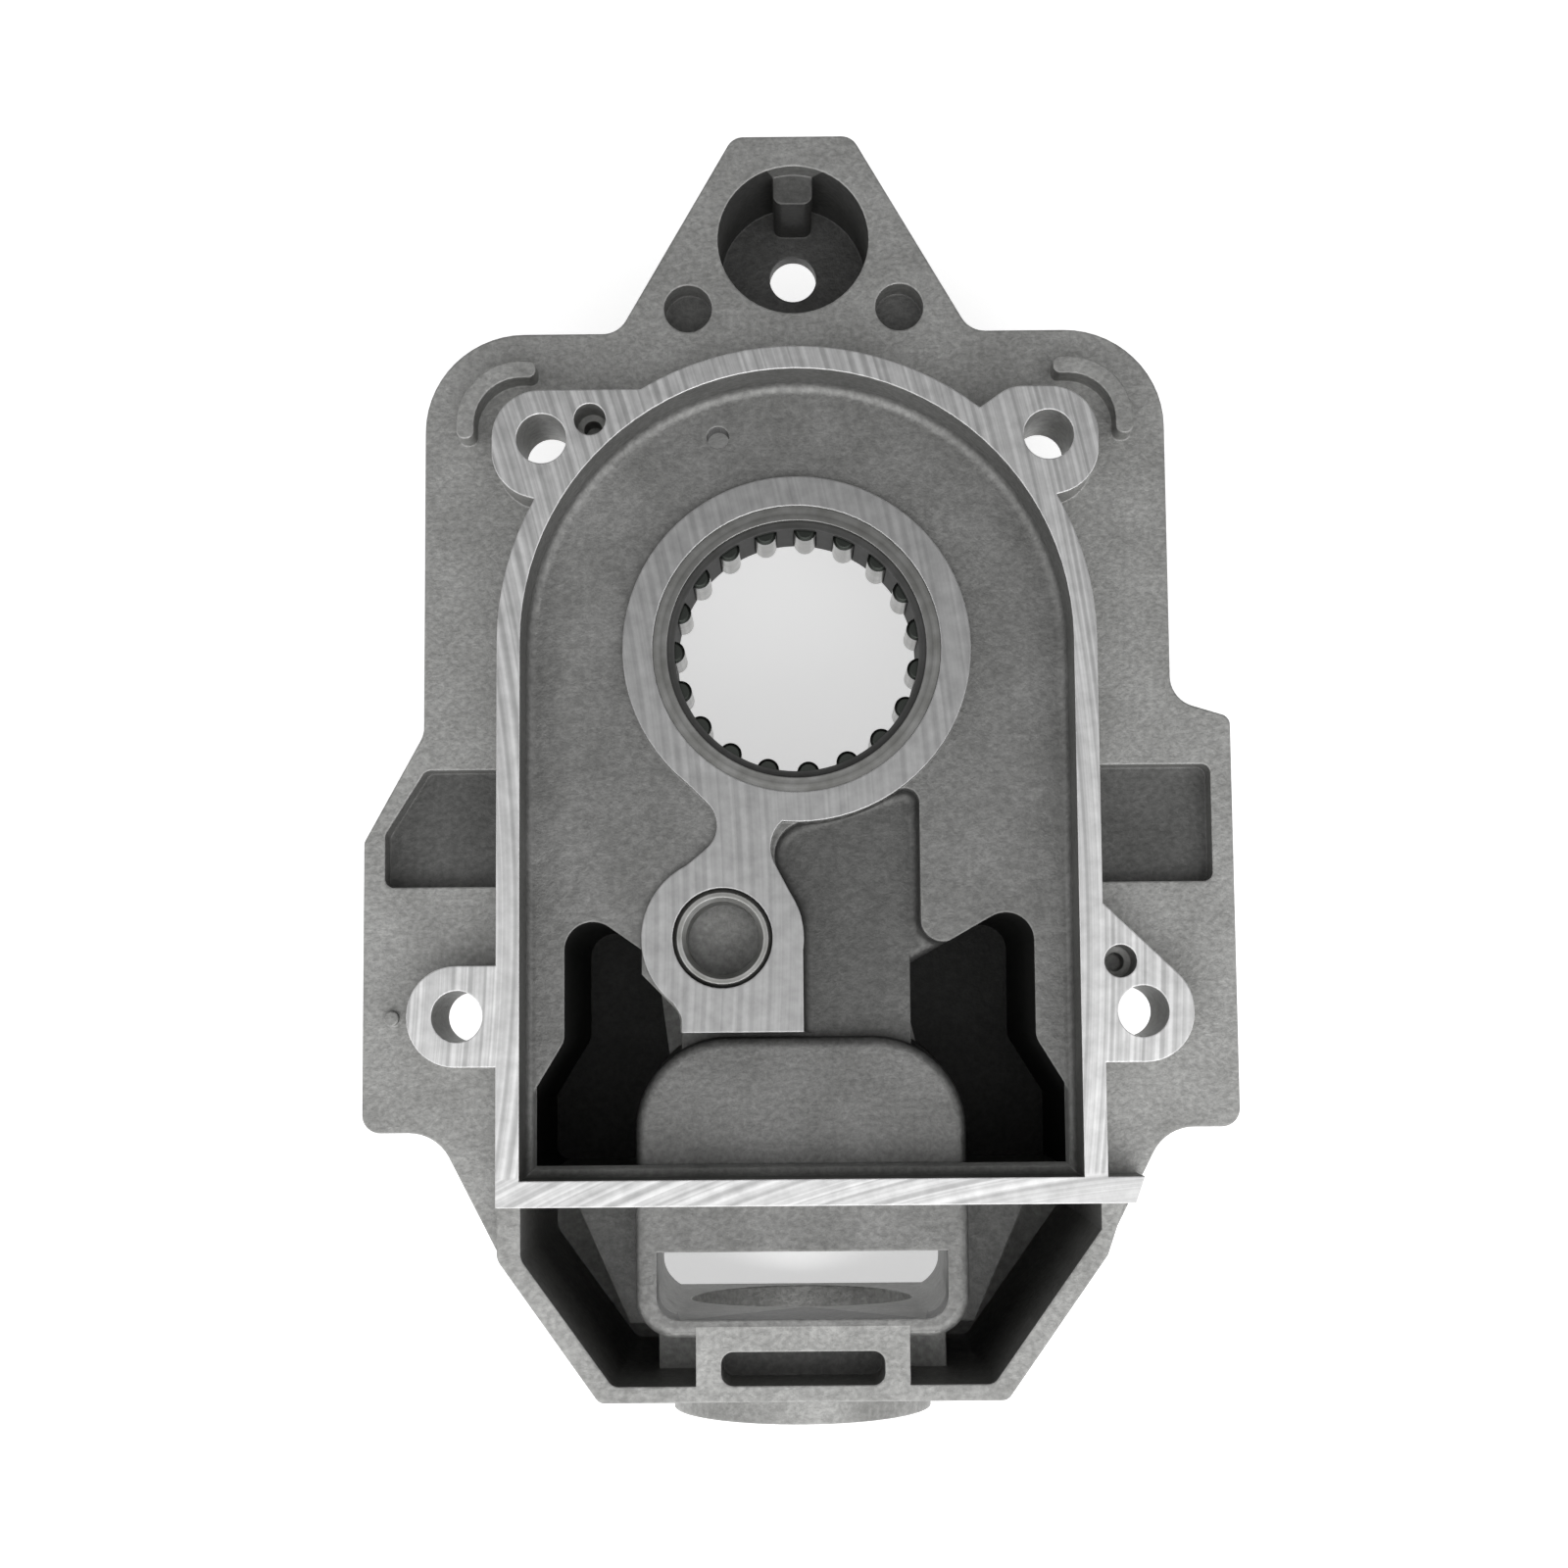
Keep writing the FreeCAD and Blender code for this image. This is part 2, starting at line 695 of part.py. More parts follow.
    pad(body, "Gussets", gussets, back, -d.gusset_drop)

    # cavities open at the back
    passage = [
        (-d.rod_passage_half, -d.recess_top),
        (-d.rod_passage_half, -(d.dome_top + 8)),
        (d.rod_passage_half, -(d.dome_top + 8)),
        (d.rod_passage_half, -d.recess_top),
    ]
    pocket(body, "RodPassage", [passage], recess_under, back)
    cavity_half = d.dome_half - d.cavity_wall
    cavity_top = -(d.dome_top + d.cavity_wall)
    cavity = [
        (-cavity_half, cavity_top, d.dome_round - d.cavity_wall),
        (-cavity_half, -d.window_bottom, d.window_round),
        (cavity_half, -d.window_bottom, d.window_round),
        (cavity_half, cavity_top, d.dome_round - d.cavity_wall),
    ]
    cavity_roof = -(d.dome_drop + d.roof_thickness)
    pocket(body, "CylinderCavity", [cavity], cavity_roof, back, d.draft_angle)
    window = [
        (-d.window_half, -d.window_top),
        (-d.window_half, -d.window_bottom, d.window_round),
        (d.window_half, -d.window_bottom, d.window_round),
        (d.window_half, -d.window_top),
    ]
    pocket(body, "Window", [window], d.frame_height, back, d.draft_angle)

    # machined bosses inside the chamber, with the recess between them
    web = [
        (-(d.neck_corner_x + d.neck_reach), -(d.neck_corner_y - d.neck_reach)),
        (-d.neck_corner_x, -d.neck_corner_y, d.neck_round),
        (-(d.neck_corner_x + d.neck_reach), -(d.neck_corner_y + d.neck_reach * 0.83)),
        (-(d.bush_x + 6.6), -(d.bush_y + 5.2)),
        (-d.boss_foot_x, -d.boss_foot_y, d.boss_foot_round),
        (-d.boss_foot_x, -d.boss_end),
        (d.recess_left, -d.boss_end),
        (d.recess_left, -d.recess_waist, d.recess_waist_round),
        (-d.recess_corner_x, -d.recess_corner_y, d.recess_corner_round),
        (d.bush_x, -d.bearing_seat_end),
    ]
    pad(body, "BossWeb", [web], floor_under, ZERO)
    bush_boss = (add_circle, -d.bush_x, -d.bush_y, d.bush_boss / 2)
    pad(body, "BushBoss", [bush_boss], -d.bush_seat_end, ZERO)
    bearing_boss = d.bearing_outside / 2 + d.boss_wall
    boss_ring = (add_circle, 0, 0, bearing_boss)
    pad(body, "BearingBoss", [boss_ring], -d.bearing_seat_end, ZERO)

    # cylinder port through the end wall, and the spigot round it
    spigot_radius = d.spigot_diameter / 2
    block_half = spigot_radius + d.port_block_wall
    port_block = [
        (-block_half, -(d.box_end - 1)),
        (-block_half, neck_end),
        (block_half, neck_end),
        (block_half, -(d.box_end - 1)),
    ]
    pad(body, "PortBlock", [port_block], back, -(d.cylinder_depth - spigot_radius))
    spigot_end = d.frame_end + d.spigot_length
    outer = new_sketch(body, "Spigot", "XZ_Plane", spigot_end)
    add_circle(outer, 0, -d.cylinder_depth, spigot_radius)
    spigot = body.newObject("PartDesign::Pad", "Spigot")
    spigot.Profile = outer
    spigot.Reversed = True
    spigot.setExpression("Length", (d.spigot_length + 1).text)
    bore = new_sketch(body, "CylinderBore", "XZ_Plane", spigot_end)
    add_circle(bore, 0, -d.cylinder_depth, d.cylinder_bore / 2)
    cut = body.newObject("PartDesign::Pocket", "CylinderBore")
    cut.Profile = bore
    cut.setExpression("Length", (spigot_end - d.window_bottom + 2).text)

    # seats, holes and small pockets
    seat = (add_circle, 0, 0, d.bearing_outside / 2)
    pocket(body, "BearingSeat", [seat], ZERO, -d.bearing_seat_end)
    bush_seat = (add_circle, -d.bush_x, -d.bush_y, d.bush_outside / 2)
    bush_end = -(d.bush_inset + d.bush_length)
    pocket(body, "BushSeat", [bush_seat], ZERO, bush_end)
    relief = (add_circle, -d.bush_x, -d.bush_y, d.bush_outside / 2 - d.bush_relief_step)
    pocket(body, "BushRelief", [relief], bush_end, bush_end - d.bush_relief)
    pocket(body, "ScrewHoles", screws, d.joint_height, -d.foot_drop)
    dowels = ((-d.upper_dowel_x, d.upper_dowel_y), (d.lower_dowel_x, -d.lower_dowel_y))
    wide = [(add_circle, x, y, d.dowel_hole / 2) for x, y in dowels]
    narrow = [(add_circle, x, y, d.dowel_relief / 2) for x, y in dowels]
    dowel_end = d.joint_height - d.dowel_depth
    pocket(body, "DowelHoles", wide, d.joint_height, dowel_end)
    pocket(body, "DowelReliefs", narrow, dowel_end, dowel_end - d.dowel_relief_depth)
    vent = (add_circle, -d.vent_x, d.vent_y, d.vent_hole / 2)
    pocket(body, "VentHole", [vent], floor_top, floor_under)
    lobe_pocket = (add_circle, 0, d.lobe_pocket_y, d.lobe_pocket / 2)
    pocket(body, "LobePocket", [lobe_pocket], ZERO, -d.lobe_pocket_depth)
    lug_back = d.lobe_pocket_y + d.lobe_pocket / 2 + 1
    lug_front = d.lobe_pocket_y + d.lobe_pocket / 2 - d.lug_reach
    lug = [
        (-(d.lug_width / 2), lug_back),
        (-(d.lug_width / 2), lug_front, d.wing_pocket_round),
        (d.lug_width / 2, lug_front, d.wing_pocket_round),
        (d.lug_width / 2, lug_back),
    ]
    pad(body, "LobeLug", [lug], -d.lobe_pocket_depth, -d.lug_drop)
    lobe_hole = (add_circle, 0, d.lobe_pocket_y, d.lobe_hole / 2)
    pocket(body, "LobeHole", [lobe_hole], -d.lobe_pocket_depth, cup_bottom)
    cores = [
        (add_circle, d.core_hole_x * side, d.core_hole_y, d.core_hole / 2) for side in (-1, 1)
    ]
    pocket(body, "CoreHoles", cores, ZERO, -d.core_hole_depth)
    wings = [wing_pocket(-1), wing_pocket(1)]
    pocket(body, "WingPockets", wings, ZERO, -d.wing_pocket_depth)
    slot_low = -(d.frame_end - d.frame_foot_wall)
    slot = [
        (-d.slot_half, -d.slot_top, d.slot_round),
        (-d.slot_half, slot_low, d.slot_round),
        (d.slot_half, slot_low, d.slot_round),
        (d.slot_half, -d.slot_top, d.slot_round),
    ]
    pocket(body, "EndSlot", [slot], d.frame_height, d.frame_height - d.slot_depth)
    return body


# ---------------------------------------------------------------- bearing and bush

raceway = d.bearing_outside / 2 - d.cup_wall
needle_radius = d.needle_diameter / 2
pitch_radius = raceway - d.needle_clearance - needle_radius
bearing_middle = -(d.bearing_inset + d.bearing_length / 2)


def build_cup():
    """Drawn cup with an inward lip at each end."""
    body = new_body("needle_bearing_cup")
    half = d.bearing_length / 2
    outside = d.bearing_outside / 2
    lip = raceway - d.cup_lip_reach
    top, bottom = bearing_middle + half, bearing_middle - half
    revolve(body, "Cup", [
        (outside, bottom),
        (outside, top),
        (lip, top),
        (lip, top - d.cup_lip),
        (raceway, top - d.cup_lip),
        (raceway, bottom + d.cup_lip),
        (lip, bottom + d.cup_lip),
        (lip, bottom),
    ])
    return body


def build_cage():
    """Cage ring with one pocket for each needle."""
    body = new_body("needle_cage")
    half = d.bearing_length / 2 - d.cup_lip - d.cage_end_play
    outer = raceway - d.cage_gap
    inner = outer - d.cage_thickness
    revolve(body, "CageRing", [
        (outer, bearing_middle - half),
        (outer, bearing_middle + half),
        (inner, bearing_middle + half),
        (inner, bearing_middle - half),
    ])
    play = d.needle_clearance * 2
    half_width = needle_radius + play
    half_length = d.needle_length / 2 + play
    sketch = new_sketch(body, "NeedlePocket", "XZ_Plane", ZERO)
    add_outline(sketch, [
        (-half_width, bearing_middle - half_length),
        (half_width, bearing_middle - half_length),
        (half_width, bearing_middle + half_length),
        (-half_width, bearing_middle + half_length),
    ])
    slot = body.newObject("PartDesign::Pocket", "NeedlePocket")
    slot.Profile = sketch
    slot.setExpression("Length", (outer + 1).text)
    pattern = body.newObject("PartDesign::PolarPattern", "NeedlePockets")
    pattern.Originals = [slot]
    axis = next(item for item in body.Origin.OriginFeatures if item.Role == "Z_Axis")
    pattern.Axis = (axis, [""])
    pattern.Angle = 360
    pattern.setExpression("Occurrences", d.needle_count.text)
    body.Tip = pattern
    body.setExpression("Placement.Rotation.Angle", f"-{d.needle_phase.text} * 1 deg")
    return body


def build_needle(number):
    """One needle roller with rounded ends, in its cage pocket."""
    body = new_body(f"needle_roller_{number + 1:02d}")
    half = d.needle_length / 2
    sketch = new_sketch(body, "Needle", "XZ_Plane", ZERO)
    add_outline(sketch, [
        (0, -half),
        (needle_radius - d.needle_chamfer, -half),
        (needle_radius, d.needle_chamfer - half),
        (needle_radius, half - d.needle_chamfer),
        (needle_radius - d.needle_chamfer, half),
        (0, half),
    ])
    feature = body.newObject("PartDesign::Revolution", "Needle")
    feature.Profile = sketch
    feature.ReferenceAxis = (sketch, ["V_Axis"])
    feature.Angle = 360
    turn = f"(90 - {d.needle_phase.text} + {number} * 360 / {d.needle_count.text})"
    body.setExpression("Placement.Base.x", f"{pitch_radius.text} * cos({turn} * 1 deg)")
    body.setExpression("Placement.Base.y", f"{pitch_radius.text} * sin({turn} * 1 deg)")
    body.setExpression("Placement.Base.z", bearing_middle.text)
    return body


def build_bush():
    """Plain bush with a lead-in chamfer, seated at the bottom of its blind bore."""
    body = new_body("shaft_bush")
    outside, bore = d.bush_outside / 2, d.bush_bore / 2
    top = -d.bush_inset
    revolve(body, "Bush", [
        (outside, top - d.bush_length),
        (outside, top - d.bush_chamfer),
        (outside - d.bush_chamfer, top),
        (bore + d.bush_chamfer, top),
        (bore, top - d.bush_chamfer),
        (bore, top - d.bush_length),
    ])
    body.setExpression("Placement.Base.x", (-d.bush_x).text)
    body.setExpression("Placement.Base.y", (-d.bush_y).text)
    return body


pieces = [build_housing(), build_cup(), build_cage(), build_bush()]
pieces += [build_needle(number) for number in range(int(DIMENSIONS["needle_count"]))]
document.recompute()

for item in document.Objects:
    if "Invalid" in item.State or "Error" in item.State:
        raise RuntimeError(f"{item.Label} did not recompute: {item.State}")
for piece in pieces:
    if piece.Shape.isNull() or not piece.Shape.isValid() or len(piece.Shape.Solids) != 1:
        raise RuntimeError(f"{piece.Label} is not one valid solid")

os.makedirs("parts", exist_ok=True)
for piece in pieces:
    piece.Shape.exportStep(f"parts/{piece.Label}.step")
    print(piece.Label, round(piece.Shape.Volume, 2), piece.Shape.BoundBox)
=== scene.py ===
import json
import math

import bmesh
import bpy
from mathutils import Euler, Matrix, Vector

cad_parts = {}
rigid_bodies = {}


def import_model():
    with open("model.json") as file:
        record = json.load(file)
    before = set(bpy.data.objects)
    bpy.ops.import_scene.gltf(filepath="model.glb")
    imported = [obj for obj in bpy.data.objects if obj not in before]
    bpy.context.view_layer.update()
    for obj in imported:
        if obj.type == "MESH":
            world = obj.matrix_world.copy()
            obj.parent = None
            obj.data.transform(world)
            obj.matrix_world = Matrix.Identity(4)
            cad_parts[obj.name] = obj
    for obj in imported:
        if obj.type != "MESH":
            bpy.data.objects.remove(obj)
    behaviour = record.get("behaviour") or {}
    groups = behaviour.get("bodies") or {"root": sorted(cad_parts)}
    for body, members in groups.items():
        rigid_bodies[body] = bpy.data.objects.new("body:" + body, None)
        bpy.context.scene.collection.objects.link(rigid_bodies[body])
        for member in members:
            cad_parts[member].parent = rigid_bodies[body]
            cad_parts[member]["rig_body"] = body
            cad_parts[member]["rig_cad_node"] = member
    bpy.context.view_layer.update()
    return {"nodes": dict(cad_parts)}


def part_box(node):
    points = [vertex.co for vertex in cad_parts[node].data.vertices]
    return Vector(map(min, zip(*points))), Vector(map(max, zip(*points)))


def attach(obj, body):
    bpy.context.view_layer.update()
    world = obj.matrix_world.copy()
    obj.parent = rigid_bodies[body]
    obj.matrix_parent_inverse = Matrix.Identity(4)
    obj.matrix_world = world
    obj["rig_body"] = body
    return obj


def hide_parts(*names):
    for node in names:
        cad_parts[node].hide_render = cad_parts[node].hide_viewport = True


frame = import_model()
nodes = frame["nodes"]
housingLow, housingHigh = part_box("gearbox_housing")
mm = 0.001


# ---- materials

def material(name, look):
    made = bpy.data.materials.new(name)
    made.use_nodes = True
    shader = made.node_tree.nodes["Principled BSDF"]
    shader.inputs["Metallic"].default_value = look["metallic"]
    shader.inputs["Roughness"].default_value = look["roughness"]
    shader.inputs["Base Color"].default_value = (*look["colour"], 1)
    return made, made.node_tree, shader


def addNode(tree, kind, inputs=None, **settings):
    node = tree.nodes.new(kind)
    for key, value in settings.items():
        setattr(node, key, value)
    for key, value in (inputs or {}).items():
        if isinstance(value, bpy.types.NodeSocket):
            tree.links.new(value, node.inputs[key])
        else:
            node.inputs[key].default_value = value
    return node


def patternPlace(tree):
    return addNode(tree, "ShaderNodeTexCoord").outputs["Object"]


def noise(tree, scale, detail, roughness):
    inputs = {"Vector": patternPlace(tree), "Scale": scale, "Detail": detail,
              "Roughness": roughness}
    return addNode(tree, "ShaderNodeTexNoise", inputs).outputs["Fac"]


def ramp(tree, value, span, colours):
    node = addNode(tree, "ShaderNodeValToRGB", {"Fac": value})
    for stop, place, colour in zip(node.color_ramp.elements, span, colours):
        stop.position = place
        stop.color = (*colour, 1)
    return node.outputs["Color"]


def grey(value):
    return (value, value, value)


def rescaled(tree, value, span):
    inputs = {"Value": value, "From Min": span[0], "From Max": span[1]}
    return addNode(tree, "ShaderNodeMapRange", inputs).outputs["Result"]


def part(tree, vector, axis):
    return addNode(tree, "ShaderNodeSeparateXYZ", {"Vector": vector}).outputs[axis]


# lines in circles around an upright axis through the centre
def arcs(tree, centre, scale, detail):
    away = addNode(tree, "ShaderNodeVectorMath", {0: patternPlace(tree), 1: centre},
                   operation="SUBTRACT")
    level = addNode(tree, "ShaderNodeVectorMath", {0: away.outputs["Vector"], 1: (1, 1, 0)},
                    operation="MULTIPLY")
    reach = addNode(tree, "ShaderNodeVectorMath", {0: level.outputs["Vector"]},
                    operation="LENGTH")
    inputs = {"W": reach.outputs["Value"], "Scale": scale, "Detail": detail}
    return addNode(tree, "ShaderNodeTexNoise", inputs, noise_dimensions="1D").outputs["Fac"]


def mixColours(tree, amount, first, second, kind="MIX"):
    node = addNode(tree, "ShaderNodeMix", data_type="RGBA", blend_type=kind)
    for socket, value in ((node.inputs[0], amount), (node.inputs[6], first),
                          (node.inputs[7], second)):
        if isinstance(value, bpy.types.NodeSocket):
            tree.links.new(value, socket)
        else:
            socket.default_value = value
    return node.outputs[2]


edgeWearAndHighlight = {
    "samples": 4,
    "agreement": (0.985, 0.8),      # rounded normal against true one, from no mark to full edge wear and painted highlight
}


# edge mask from the rounded normal against the true one; the lightening it drives is wear
# and also a painted highlight, on concave corners too
def roundedEdges(tree, radius):
    rounded = addNode(tree, "ShaderNodeBevel", {"Radius": radius}, samples=edgeWearAndHighlight["samples"])
    flat = addNode(tree, "ShaderNodeNewGeometry")
    both = {0: rounded.outputs["Normal"], 1: flat.outputs["Normal"]}
    agree = addNode(tree, "ShaderNodeVectorMath", both, operation="DOT_PRODUCT")
    wornAndHighlit = rescaled(tree, agree.outputs["Value"], edgeWearAndHighlight["agreement"])
    return rounded.outputs["Normal"], wornAndHighlit


def bump(tree, shader, height, strength, distance, normal):
    inputs = {"Height": height, "Strength": strength, "Distance": distance,
              "Normal": normal}
    node = addNode(tree, "ShaderNodeBump", inputs)
    tree.links.new(node.outputs["Normal"], shader.inputs["Normal"])


castLook = {
    "colour": (0.33, 0.33, 0.325),
    "dark": (0.27, 0.27, 0.262),
    "light": (0.38, 0.38, 0.372),
    "wornAndHighlit": (0.62, 0.62, 0.61),
    "metallic": 0.8,
    "roughness": 0.52,
    "cloud": (110.0, 5.0, 0.6),         # scale, detail and roughness of the noise
    "cloudSpan": (0.3, 0.7),
    "grain": (1500.0, 4.0, 0.65),
    "grainSpan": (0.38, 0.68),
    "grainShare": (0.8, 1.15),          # tone in the grain's hollows and on its tips
    "grainStrength": 0.55,
    "grainDepth": 0.13 * mm,
    "edge": 0.3 * mm,
}


def castAluminium(name, share):
    made, tree, shader = material(name, castLook)
    cloud = noise(tree, *castLook["cloud"])
    ends = [tuple(tint * share for tint in castLook[end]) for end in ("dark", "light")]
    tone = ramp(tree, cloud, castLook["cloudSpan"], ends)
    grain = noise(tree, *castLook["grain"])
    speck = ramp(tree, grain, castLook["grainSpan"], map(grey, castLook["grainShare"]))
    tone = mixColours(tree, 1.0, tone, speck, "MULTIPLY")
    normal, edges = roundedEdges(tree, castLook["edge"])
    patchy = addNode(tree, "ShaderNodeMath", {0: edges, 1: cloud}, operation="MULTIPLY")
    # edges lightened as wear and as painted highlight, patchy with the cloud
    bareAndHighlit = (*(tint * math.sqrt(share) for tint in castLook["wornAndHighlit"]), 1)
    tone = mixColours(tree, patchy.outputs[0], tone, bareAndHighlit)
    tree.links.new(tone, shader.inputs["Base Color"])
    bump(tree, shader, grain, castLook["grainStrength"], castLook["grainDepth"], normal)
    return made


milledLook = {
    "colour": (0.62, 0.62, 0.62),
    "dark": 0.44,
    "light": 0.7,
    "wornAndHighlit": (0.9, 0.9, 0.9),
    "metallic": 0.95,
    "roughness": 0.38,
    "cutter": (-0.2, -0.03, 0),         # middle of the milling arcs
    "barCutter": (0.05, -0.22, 0),      # and of those on the bar
    "bar": (-57.3 * mm, -57.7 * mm),    # where one set of arcs gives way to the other
    "lines": (1500.0, 4.0),             # scale and detail of the noise
    "lineSpan": (0.34, 0.66),
    "lineStrength": 0.3,
    "lineDepth": 0.04 * mm,
    "smear": (500.0, 4.0, 0.6),
    "smearSpan": (0.3, 0.7),
    "smearShare": (0.85, 1.1),
    "edge": 0.2 * mm,
}


def milledAluminium(name, share, contrast):
    made, tree, shader = material(name, milledLook)
    onBar = rescaled(tree, part(tree, patternPlace(tree), "Y"), milledLook["bar"])
    both = {"Factor": onBar,
            "A": arcs(tree, milledLook["cutter"], *milledLook["lines"]),
            "B": arcs(tree, milledLook["barCutter"], *milledLook["lines"])}
    streak = addNode(tree, "ShaderNodeMix", both, data_type="FLOAT").outputs["Result"]
    half = (milledLook["light"] - milledLook["dark"]) / 2 * contrast
    middle = (milledLook["light"] + milledLook["dark"]) / 2
    ends = [grey((middle + side * half) * share) for side in (-1, 1)]
    tone = ramp(tree, streak, milledLook["lineSpan"], ends)
    smear = noise(tree, *milledLook["smear"])
    film = ramp(tree, smear, milledLook["smearSpan"], map(grey, milledLook["smearShare"]))
    tone = mixColours(tree, 1.0, tone, film, "MULTIPLY")
    normal, edges = roundedEdges(tree, milledLook["edge"])
    # edges lightened as wear and as painted highlight
    tone = mixColours(tree, edges, tone, (*milledLook["wornAndHighlit"], 1))
    tree.links.new(tone, shader.inputs["Base Color"])
    bump(tree, shader, streak, milledLook["lineStrength"], milledLook["lineDepth"], normal)
    return made


steelLook = {
    "warmth": 0.98,             # blue against red and green
    "lines": (1500.0, 3.0),
    "lineSpan": (0.35, 0.65),
    "lineStrength": 0.2,
    "lineDepth": 0.03 * mm,
    "spread": 0.2,              # how far the tone wanders from the middle colour
    "smear": (420.0, 4.0, 0.6),
    "smearSpan": (0.35, 0.7),
    "film": ((0.75, 0.75, 0.73), (1.1, 1.1, 1.1)),
    "edge": 0.15 * mm,
    "wornAndHighlit": 1.9,                # edges lightened as wear and as painted highlight, against the middle colour
    "upwardDark": (0.05, 0.055, 0.05),
    "upwardDarkSlope": (0.2, 0.5),   # upward part of the normal, full tone to darkest
}


def turnedSteel(name, tone, roughness, centre=(0, 0, 0), darkUpperEnds=False, metallic=1.0):
    colour = (tone, tone, tone * steelLook["warmth"])
    look = {"colour": colour, "roughness": roughness, "metallic": metallic}
    made, tree, shader = material(name, look)
    lines = arcs(tree, centre, *steelLook["lines"])
    ends = [tuple(tint * (1 + side * steelLook["spread"]) for tint in colour)
            for side in (-1, 1)]
    shade = ramp(tree, lines, steelLook["lineSpan"], ends)
    smear = noise(tree, *steelLook["smear"])
    film = ramp(tree, smear, steelLook["smearSpan"], steelLook["film"])
    shade = mixColours(tree, 1.0, shade, film, "MULTIPLY")
    normal, edges = roundedEdges(tree, steelLook["edge"])
    # edges lightened as wear and as painted highlight
    shade = mixColours(tree, edges, shade, (*grey(min(1, tone * steelLook["wornAndHighlit"])), 1))
    if darkUpperEnds:
        # faces whose normal points up, the needle ends, are darkened
        facing = addNode(tree, "ShaderNodeNewGeometry").outputs["Normal"]
        upper = rescaled(tree, part(tree, facing, "Z"), steelLook["upwardDarkSlope"])
        shade = mixColours(tree, upper, shade, (*steelLook["upwardDark"], 1))
    tree.links.new(shade, shader.inputs["Base Color"])
    bump(tree, shader, lines, steelLook["lineStrength"], steelLook["lineDepth"], normal)
    return made


bushCentre = sum(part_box("shaft_bush"), Vector()) / 2
# in the order of the face numbers below; the second value is the share of the full tone,
# and the shares under one paint shade in the chamber, in hollows and in deep pockets
castingMaterials = [
    castAluminium("castAluminium", 1.0),
    milledAluminium("milledAluminium", 1.0, 1.0),
    # boss face: darker, flatter copy of the milled finish; the darkening is painted shade
    # of the chamber
    milledAluminium("bossMilledShaded", 0.66, 0.5),
    # chamber and box faces: darker copy of the cast finish, painted shade
    castAluminium("chamberShadeCast", 0.62),
    # low faces in hollows: darker copy of the cast finish, painted shade
    castAluminium("hollowShadeCast", 0.36),
    # deep pocket faces: near-black copy of the cast finish, painted shade
    castAluminium("deepShadeCast", 0.12),
]
castFace, milledFace, bossFace, chamberShadeFace, hollowShadeFace, deepShadeFace = range(6)
cupSteel = turnedSteel("cupSteel", 0.27, 0.3)
cageSteel = turnedSteel("cageSteel", 0.05, 0.6, metallic=0.3)
needleSteel = turnedSteel("needleSteel", 0.4, 0.25, darkUpperEnds=True)
bushMetal = turnedSteel("bushMetal", 0.34, 0.42, tuple(bushCentre))
print("materials made")


# ---- housing

housing = {
    "sharp": math.radians(28),
    "jointFace": housingHigh.z,
    "bossFace": 0.0,
    "backFace": housingLow.z,
    "chamberReach": 31 * mm,      # from the bearing's axis to just inside the rim wall
    "chamberFoot": -57.8 * mm,
    "boxHalf": 18 * mm,
    "boxFoot": -74 * mm,
    "domeHead": -43 * mm,
    "domeFoot": -1.5 * mm,
    "lobeMiddle": 46.4 * mm,
    "lobeReach": 8.8 * mm,
    "recess": -2.6 * mm,          # surfaces lower than this inside a hollow get painted shade
    "crankTop": -9 * mm,
    "pocketTop": -7 * mm,
    "pocketHead": -28 * mm,
    "pocketInner": 17 * mm,
    "flat": 0.02 * mm,
    "level": 0.95,                # upward part of the normal on a level face
    "same": 0.001 * mm,           # corners closer than this are one
    "flush": math.radians(0.5),
}
def finishOf(face):
    middle = face.calc_center_median()
    up = face.normal.z
    across = abs(middle.x)
    for height in (housing["jointFace"], housing["backFace"]):
        if abs(up) > housing["level"] and abs(middle.z - height) < housing["flat"]:
            return milledFace
    inChamber = (math.hypot(middle.x, max(middle.y, 0)) < housing["chamberReach"]
                 and middle.y > housing["chamberFoot"])
    inBox = (across < housing["boxHalf"]
             and housing["boxFoot"] < middle.y < housing["chamberFoot"])
    onBoss = abs(middle.z - housing["bossFace"]) < housing["flat"]
    # the boss face takes the milled finish darkened as painted shade
    if inChamber and onBoss and up > housing["level"]:
        return bossFace
    if inChamber and across > housing["pocketInner"] and middle.z < housing["pocketTop"]:
        # deep pocket faces towards the lobe get the darkest painted shade
        return deepShadeFace if middle.y < housing["pocketHead"] else castFace
    # low faces in the lobe, on the wings and inside the chamber get painted hollow shade
    if middle.z < housing["recess"]:
        lobe = math.hypot(middle.x, middle.y - housing["lobeMiddle"])
        if lobe < housing["lobeReach"]:
            return hollowShadeFace
        wing = up > housing["level"] and middle.z > housing["crankTop"]
        inside = inChamber and middle.z > housing["crankTop"]
        return hollowShadeFace if wing or inside else castFace
    onDome = (inChamber and across < housing["boxHalf"]
              and middle.y < housing["domeHead"] and middle.z > housing["domeFoot"])
    # chamber and box faces, apart from the dome, get painted chamber shade
    return chamberShadeFace if (inChamber or inBox) and not onDome else castFace


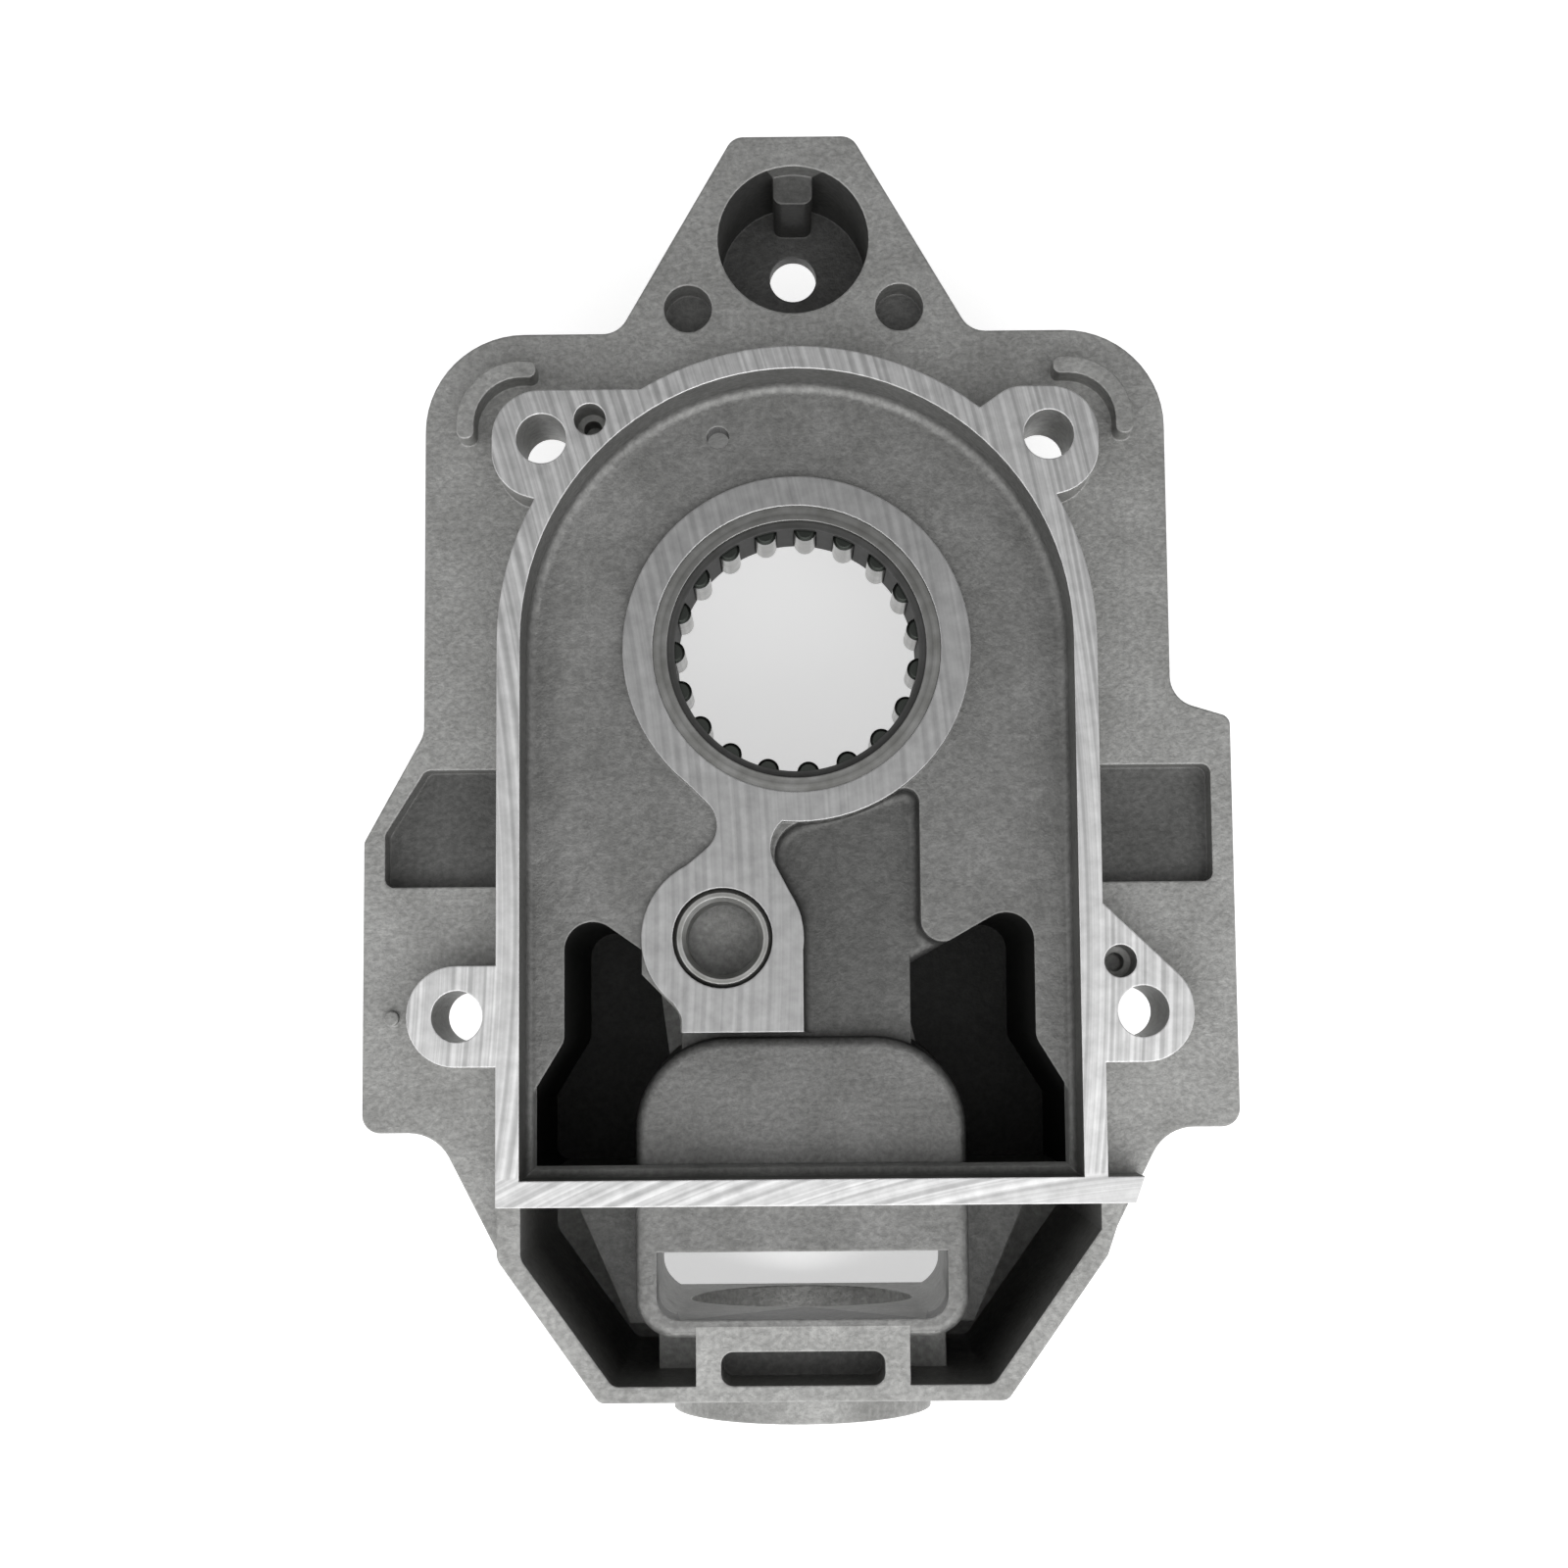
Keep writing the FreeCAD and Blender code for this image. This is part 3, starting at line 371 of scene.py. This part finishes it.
def finishedHousing():
    source = nodes["gearbox_housing"]
    piece = source.copy()
    piece.data = source.data.copy()
    piece.name = "housingCasting"
    piece.parent = None
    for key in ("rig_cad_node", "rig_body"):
        if key in piece:
            del piece[key]
    bpy.context.scene.collection.objects.link(piece)
    mesh = bmesh.new()
    mesh.from_mesh(piece.data)
    bmesh.ops.remove_doubles(mesh, verts=mesh.verts, dist=housing["same"])
    piece.data.materials.clear()
    for made in castingMaterials:
        piece.data.materials.append(made)
    for face in mesh.faces:
        face.smooth = True
        face.material_index = finishOf(face)
    bmesh.ops.dissolve_limit(
        mesh, angle_limit=housing["flush"], use_dissolve_boundaries=False,
        verts=mesh.verts, edges=mesh.edges, delimit={"MATERIAL"})
    for edge in mesh.edges:
        if len(edge.link_faces) == 2:
            edge.smooth = edge.calc_face_angle(0) < housing["sharp"]
    mesh.to_mesh(piece.data)
    mesh.free()
    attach(piece, "housing")
    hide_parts("gearbox_housing")


finishedHousing()
print("housing made")


# ---- bearing and bush

def finish(name, made):
    mesh = nodes[name].data
    mesh.materials.clear()
    mesh.materials.append(made)


finish("needle_bearing_cup", cupSteel)
finish("needle_cage", cageSteel)
finish("shaft_bush", bushMetal)
for name in nodes:
    if name.startswith("needle_roller"):
        finish(name, needleSteel)
print("bearing and bush finished")


# ---- floor, light and camera

studio = {
    "floor": 3.0,
    "floorGap": 0.05 * mm,
    "floorGlow": 0.56,
    "floorColour": (0.8, 0.8, 0.8),
    "bright": 1.45,       # sky towards the cylinder port
    "dim": 0.2,           # sky towards the lobe
    "turnover": (-0.2, 0.36),     # where the sky starts and ends turning dim, along Y
    "keyPower": 1.4,
    "keySize": 0.5,
    "keyPlace": (0.08, -0.42, 0.5),
    "keyAim": (0, -0.01, 0),
}


def paleFloor():
    half = studio["floor"] / 2
    data = bpy.data.meshes.new("floor")
    level = housingLow.z - studio["floorGap"]
    corners = [(-half, -half), (half, -half), (half, half), (-half, half)]
    data.from_pydata([(x, y, level) for x, y in corners], [], [(0, 1, 2, 3)])
    floor = bpy.data.objects.new("floor", data)
    bpy.context.scene.collection.objects.link(floor)
    made = bpy.data.materials.new("paleFloor")
    made.use_nodes = True
    tree = made.node_tree
    tree.nodes.clear()
    rays = addNode(tree, "ShaderNodeLightPath")
    seen = addNode(tree, "ShaderNodeMath", {0: rays.outputs["Is Camera Ray"],
                                            1: rays.outputs["Is Glossy Ray"]},
                   operation="MAXIMUM")
    glow = addNode(tree, "ShaderNodeEmission", {"Color": (1, 1, 1, 1)})
    strength = addNode(tree, "ShaderNodeMath", {0: seen.outputs[0], 1: studio["floorGlow"]},
                       operation="MULTIPLY")
    tree.links.new(strength.outputs[0], glow.inputs["Strength"])
    matte = addNode(tree, "ShaderNodeBsdfDiffuse", {"Color": (*studio["floorColour"], 1)})
    both = addNode(tree, "ShaderNodeAddShader", {0: glow.outputs[0], 1: matte.outputs[0]})
    out = addNode(tree, "ShaderNodeOutputMaterial")
    tree.links.new(both.outputs[0], out.inputs["Surface"])
    data.materials.append(made)


def softWorld():
    world = bpy.data.worlds.new("softWorld")
    bpy.context.scene.world = world
    world.use_nodes = True
    tree = world.node_tree
    tree.nodes.clear()
    rays = addNode(tree, "ShaderNodeLightPath")
    way = addNode(tree, "ShaderNodeTexCoord").outputs["Generated"]
    inputs = {"Value": part(tree, way, "Y"), "From Min": studio["turnover"][0],
              "From Max": studio["turnover"][1], "To Min": studio["bright"],
              "To Max": studio["dim"]}
    sky = addNode(tree, "ShaderNodeMapRange", inputs, interpolation_type="SMOOTHSTEP")
    strength = addNode(tree, "ShaderNodeMix", {"Factor": rays.outputs["Is Camera Ray"],
                                               "A": sky.outputs["Result"], "B": 1.0},
                       data_type="FLOAT")
    ground = addNode(tree, "ShaderNodeBackground", {"Color": (1, 1, 1, 1),
                                                    "Strength": strength.outputs["Result"]})
    out = addNode(tree, "ShaderNodeOutputWorld")
    tree.links.new(ground.outputs[0], out.inputs["Surface"])


def keyLight():
    data = bpy.data.lights.new("keyLight", "AREA")
    data.energy = studio["keyPower"]
    data.size = studio["keySize"]
    lamp = bpy.data.objects.new("keyLight", data)
    lamp.location = studio["keyPlace"]
    aim = Vector(studio["keyAim"]) - lamp.location
    lamp.rotation_euler = aim.to_track_quat("-Z", "Y").to_euler()
    bpy.context.scene.collection.objects.link(lamp)


camera = {
    "lens": 56.25,
    "frame": 36.0,
    "near": 0.01,
    "place": (-0.00089, -0.04091, 0.26847),
    "turn": (5.4836, 0.1825, -0.4825),      # degrees
}


def viewCamera():
    data = bpy.data.cameras.new("viewCamera")
    data.lens = camera["lens"]
    data.sensor_width = camera["frame"]
    data.clip_start = camera["near"]
    seen = bpy.data.objects.new("viewCamera", data)
    seen.location = camera["place"]
    seen.rotation_euler = Euler([math.radians(angle) for angle in camera["turn"]])
    bpy.context.scene.collection.objects.link(seen)
    bpy.context.scene.camera = seen


paleFloor()
softWorld()
keyLight()
viewCamera()
bpy.context.scene.view_settings.view_transform = "Standard"
print("studio made")
